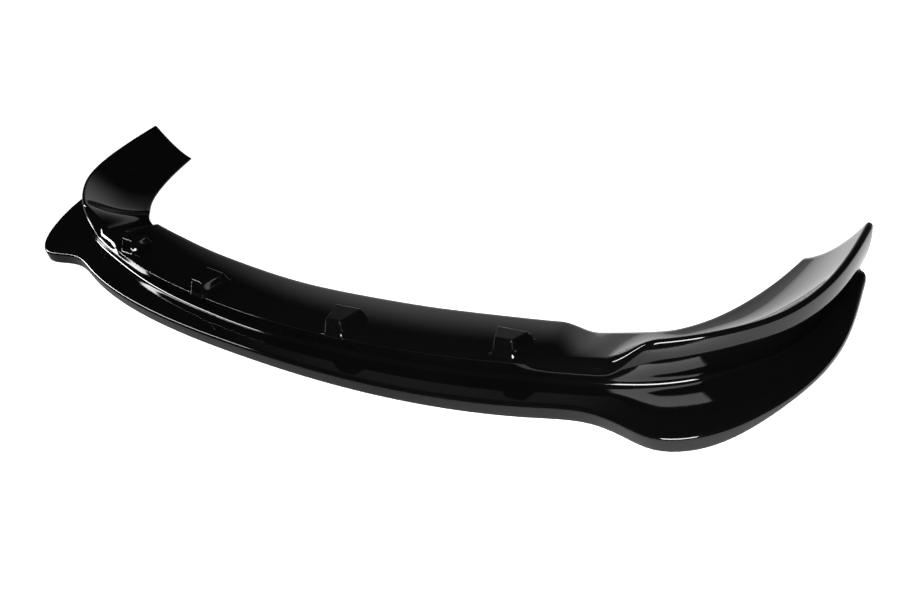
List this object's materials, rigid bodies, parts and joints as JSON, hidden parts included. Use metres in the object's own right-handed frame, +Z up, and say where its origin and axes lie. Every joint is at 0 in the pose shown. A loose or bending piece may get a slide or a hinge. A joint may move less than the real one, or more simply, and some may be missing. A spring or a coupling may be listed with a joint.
{
  "type": "front splitter lip",
  "caption": "Glossy black moulded car front splitter lip: a thin swept blade with a step wall, a shelf with hollow locating bosses and raised end flanges that seat under a bumper.",
  "frame": {"origin": "centre of the bounding box, level with the skirt's rim that the lip stands on", "axes": "+X across the car, +Y from the front edge towards the flange tips, +Z up"},
  "size_m": [1.7976, 0.533, 0.087],
  "materials": {
    "gloss_black": "high-gloss black moulded plastic"
  },
  "bodies": {
    "root": {"splitter_lip": "gloss_black"}
  },
  "joints": []
}
